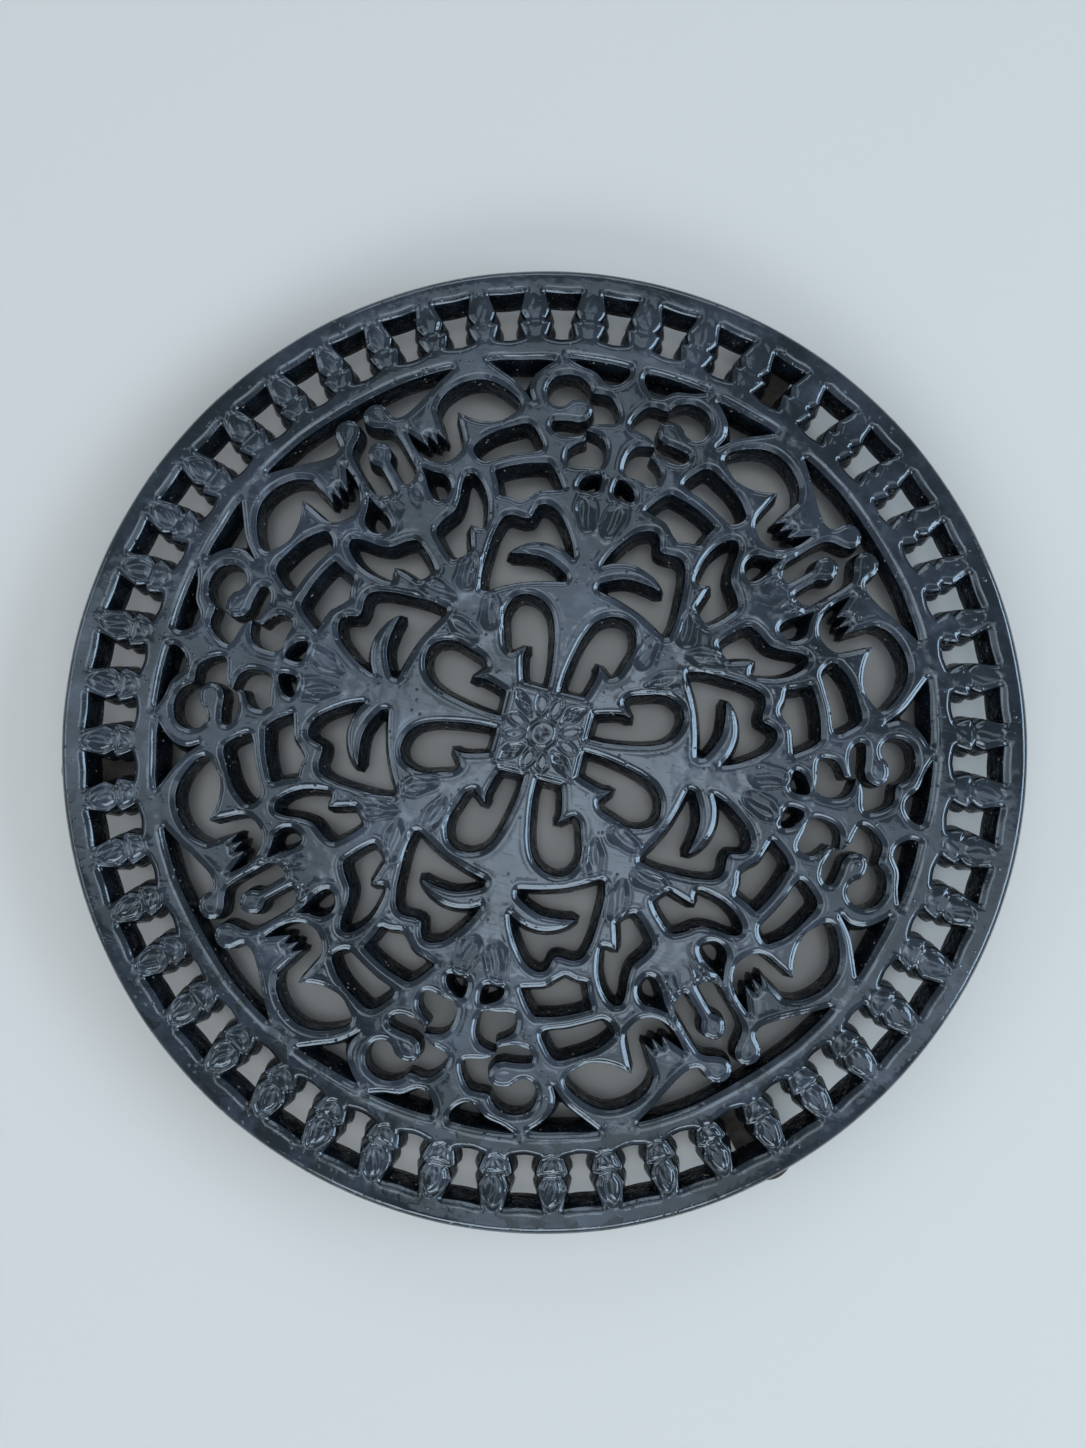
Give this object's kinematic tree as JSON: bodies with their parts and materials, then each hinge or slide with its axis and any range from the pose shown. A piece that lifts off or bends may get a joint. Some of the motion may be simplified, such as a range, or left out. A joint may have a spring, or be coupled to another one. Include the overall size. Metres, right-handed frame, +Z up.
{
  "type": "trivet",
  "caption": "Round cast-iron trivet with a pierced scroll pattern and a windowed border, standing on rubber boots.",
  "frame": {"origin": "on the table surface, under the middle of the plate", "axes": "+Z up, out of the pierced top; +X and +Y on the two axes of the pattern that pass through the petals' bars"},
  "size_m": [0.23, 0.23, 0.016],
  "materials": {
    "enamelled_iron": "glossy black enamel over cast iron",
    "rubber": "matt dark brown-black rubber"
  },
  "bodies": {
    "root": {"casting": "enamelled_iron", "rubber_foot_1": "rubber", "rubber_foot_2": "rubber", "rubber_foot_3": "rubber"}
  },
  "joints": []
}
